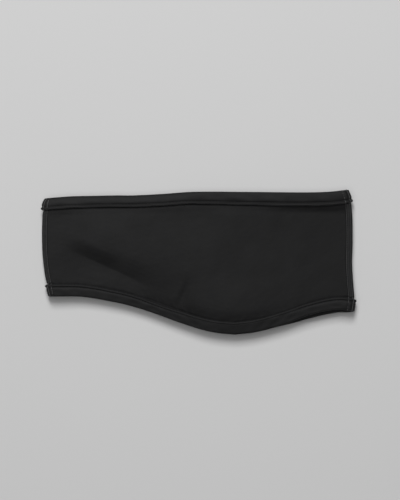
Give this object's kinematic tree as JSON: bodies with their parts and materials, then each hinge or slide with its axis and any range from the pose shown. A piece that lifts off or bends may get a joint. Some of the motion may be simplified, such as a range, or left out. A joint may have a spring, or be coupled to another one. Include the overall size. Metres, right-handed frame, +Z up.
{
  "type": "ear warmer headband",
  "caption": "Stretch fleece ear warmer headband lying flat: a closed loop, deeper over the ear, of side panels sewn end to end with folded bindings round both edges.",
  "frame": {"origin": "under the middle of the band's box, on the surface that it lies on", "axes": "+X along the flattened band from the forehead to the nape, +Y across it from the ears towards the crown, +Z up from the surface"},
  "size_m": [0.2516, 0.1156, 0.0143],
  "materials": {
    "panel_fleece": "matt black brushed stretch fleece",
    "binding_knit": "matt black smooth stretch knit",
    "sewing_thread": "black spun sewing thread"
  },
  "bodies": {
    "root": {"near_panel": "panel_fleece", "far_panel": "panel_fleece", "top_binding": "binding_knit", "bottom_binding": "binding_knit"}
  },
  "joints": []
}
